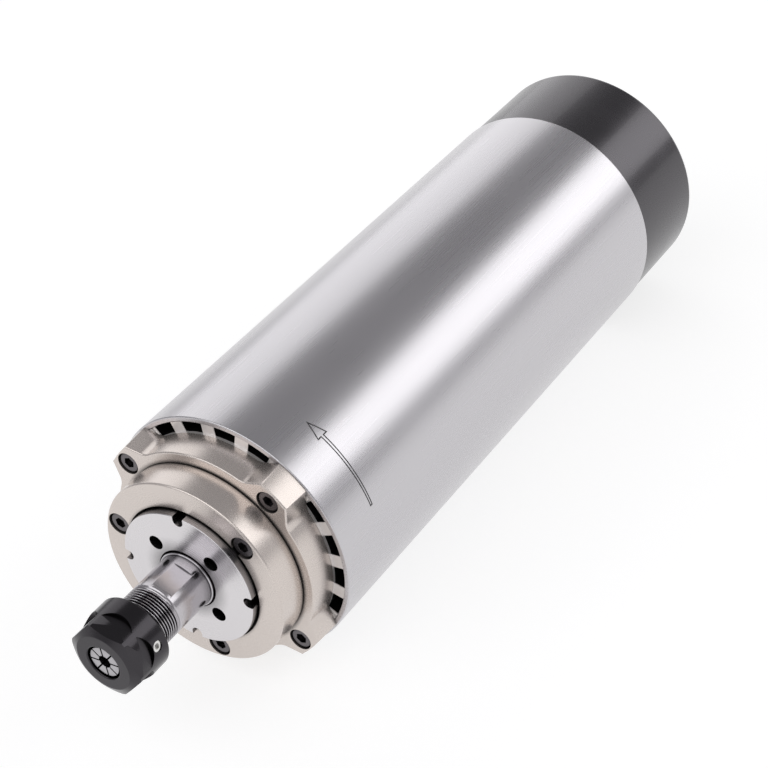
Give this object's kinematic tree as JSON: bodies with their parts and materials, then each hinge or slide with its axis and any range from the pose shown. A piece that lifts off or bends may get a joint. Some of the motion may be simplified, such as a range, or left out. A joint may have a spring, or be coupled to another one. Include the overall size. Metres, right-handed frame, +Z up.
{
  "type": "motor spindle",
  "caption": "Round-bodied air-cooled motor spindle with a lobed front bell, collet chuck and panel socket at the back, clamped by its sleeve.",
  "frame": {"origin": "on the spindle's axis at the front rim of the outer sleeve", "axes": "+Y along the spindle's axis from nose to back, +Z up with two lobes of the bell above and two below, +X to the right seen from the nose"},
  "size_m": [0.065, 0.2393, 0.065],
  "materials": {
    "brushed_sleeve": "brushed along its length, satin",
    "nickel_casting": "satin champagne nickel on a fine-blasted casting",
    "turned_aluminium": "faced on a lathe, bright",
    "plain_aluminium": "as extruded or as cast, matt",
    "ground_steel": "ground, semi-bright",
    "black_oxide": "black oxide, oiled satin",
    "collet_steel": "hardened and ground spring steel",
    "screw_steel": "dark zinc, semi-gloss",
    "bright_zinc": "bright zinc",
    "black_cover": "black moulded, satin",
    "laminations": "stacked electrical steel",
    "copper_wire": "enamelled copper",
    "bearing_steel": "polished bearing steel",
    "cage_brass": "machined brass",
    "fan_plastic": "glass-filled nylon, matt",
    "spring_steel": "pressed spring steel",
    "socket_metal": "nickel-plated brass",
    "insert_plastic": "black thermoset",
    "pin_plating": "gold flash",
    "lead_insulation": "silicone insulation"
  },
  "bodies": {
    "root": {"outer_sleeve": "brushed_sleeve", "stator_housing": "plain_aluminium", "front_end_bell": "nickel_casting", "bell_screws": "screw_steel", "bearing_cap": "nickel_casting", "cap_screws": "screw_steel", "lock_ring": "turned_aluminium", "stator_core": "laminations", "stator_windings": "copper_wire", "front_outer_races": "bearing_steel", "rear_outer_race": "bearing_steel", "rear_bracket": "plain_aluminium", "preload_spring": "spring_steel", "bracket_posts": "bright_zinc", "rear_cover": "black_cover", "cover_screws": "screw_steel", "socket_shell": "socket_metal", "socket_nut": "socket_metal", "socket_insert": "insert_plastic", "socket_pins": "pin_plating", "lead_wires": "lead_insulation"},
    "rotor": {"shaft": "ground_steel", "front_inner_races": "bearing_steel", "rear_inner_race": "bearing_steel", "bearing_lock_nut": "screw_steel", "rotor_core": "laminations", "rotor_end_rings": "plain_aluminium", "cooling_fan": "fan_plastic", "fan_nut": "bright_zinc"},
    "front_cage": {"front_cage": "cage_brass", "front_balls": "bearing_steel"},
    "second_cage": {"second_cage": "cage_brass", "second_balls": "bearing_steel"},
    "rear_cage": {"rear_cage": "cage_brass", "rear_balls": "bearing_steel"},
    "collet": {"collet": "collet_steel"},
    "nut": {"collet_nut": "black_oxide", "balance_screws": "bright_zinc"}
  },
  "joints": [
    {"name": "spindle_spin", "type": "hinge", "parent": "root", "child": "rotor", "pos_m": [0, 0, 0], "axis": [0, 1, 0], "continuous": true},
    {"name": "front_cage_spin", "type": "hinge", "parent": "root", "child": "front_cage", "pos_m": [0, 0, 0], "axis": [0, 1, 0], "continuous": true},
    {"name": "second_cage_spin", "type": "hinge", "parent": "root", "child": "second_cage", "pos_m": [0, 0, 0], "axis": [0, 1, 0], "continuous": true},
    {"name": "rear_cage_spin", "type": "hinge", "parent": "root", "child": "rear_cage", "pos_m": [0, 0, 0], "axis": [0, 1, 0], "continuous": true},
    {"name": "collet_draw", "type": "slide", "parent": "rotor", "child": "collet", "axis": [0, -1, 0], "range_m": [0, 0.00525]},
    {"name": "nut_turn", "type": "hinge", "parent": "collet", "child": "nut", "pos_m": [0, -0.0422, 0], "axis": [0, -1, 0], "range_deg": [0, 2520]}
  ],
  "couplings": [
    {"joint": "front_cage_spin", "follows": "spindle_spin", "ratio": 0.40217},
    {"joint": "second_cage_spin", "follows": "spindle_spin", "ratio": 0.40217},
    {"joint": "rear_cage_spin", "follows": "spindle_spin", "ratio": 0.381},
    {"joint": "collet_draw", "follows": "nut_turn", "m_per_rad": 0.00011937}
  ]
}
